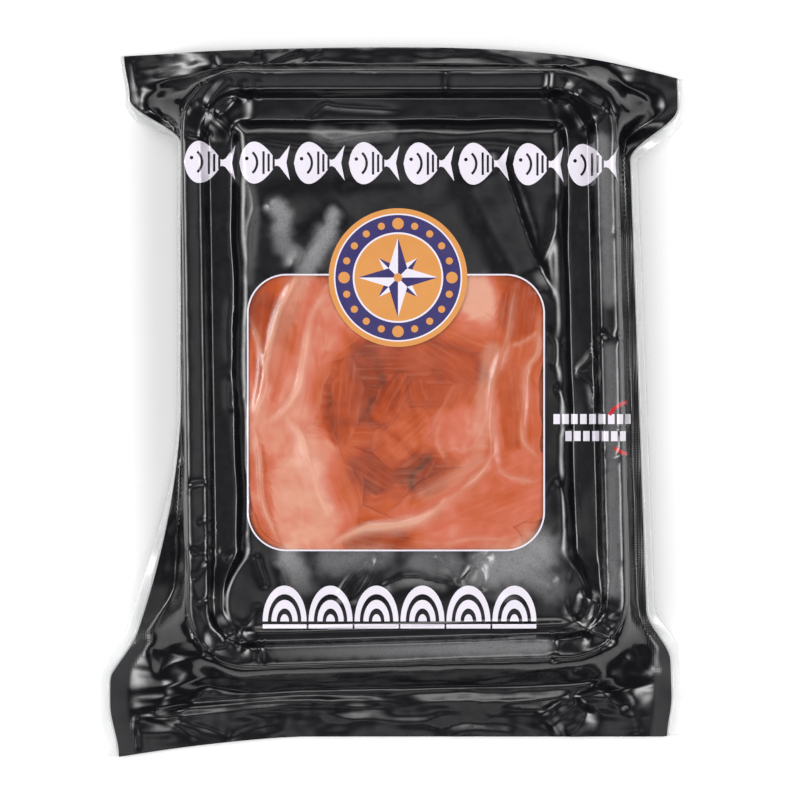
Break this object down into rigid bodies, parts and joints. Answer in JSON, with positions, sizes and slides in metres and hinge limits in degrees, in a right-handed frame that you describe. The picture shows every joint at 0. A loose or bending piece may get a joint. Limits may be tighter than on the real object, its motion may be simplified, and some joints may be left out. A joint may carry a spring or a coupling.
{
  "type": "vacuum pack of smoked salmon trimmings",
  "caption": "Vacuum pouch of smoked salmon trimmings: black printed film drawn tight over a rimmed tray, with a clear window over the fish and flat sealed flaps at both ends.",
  "frame": {"origin": "under the middle of the pack, on the surface it lies on", "axes": "+Y towards the pack's top flap, +Z out of the printed front, +X to the right of someone reading the front"},
  "size_m": [0.2053, 0.2468, 0.02],
  "materials": {
    "black_film": "glossy printed film",
    "clear_film": "clear gloss film",
    "window_film": "clear gloss film",
    "salmon": "moist smoked salmon"
  },
  "bodies": {
    "root": {"pouch": "black_film", "seam_left": "clear_film", "seam_right": "clear_film", "window_film": "window_film", "salmon_trimmings": "salmon"}
  },
  "joints": []
}
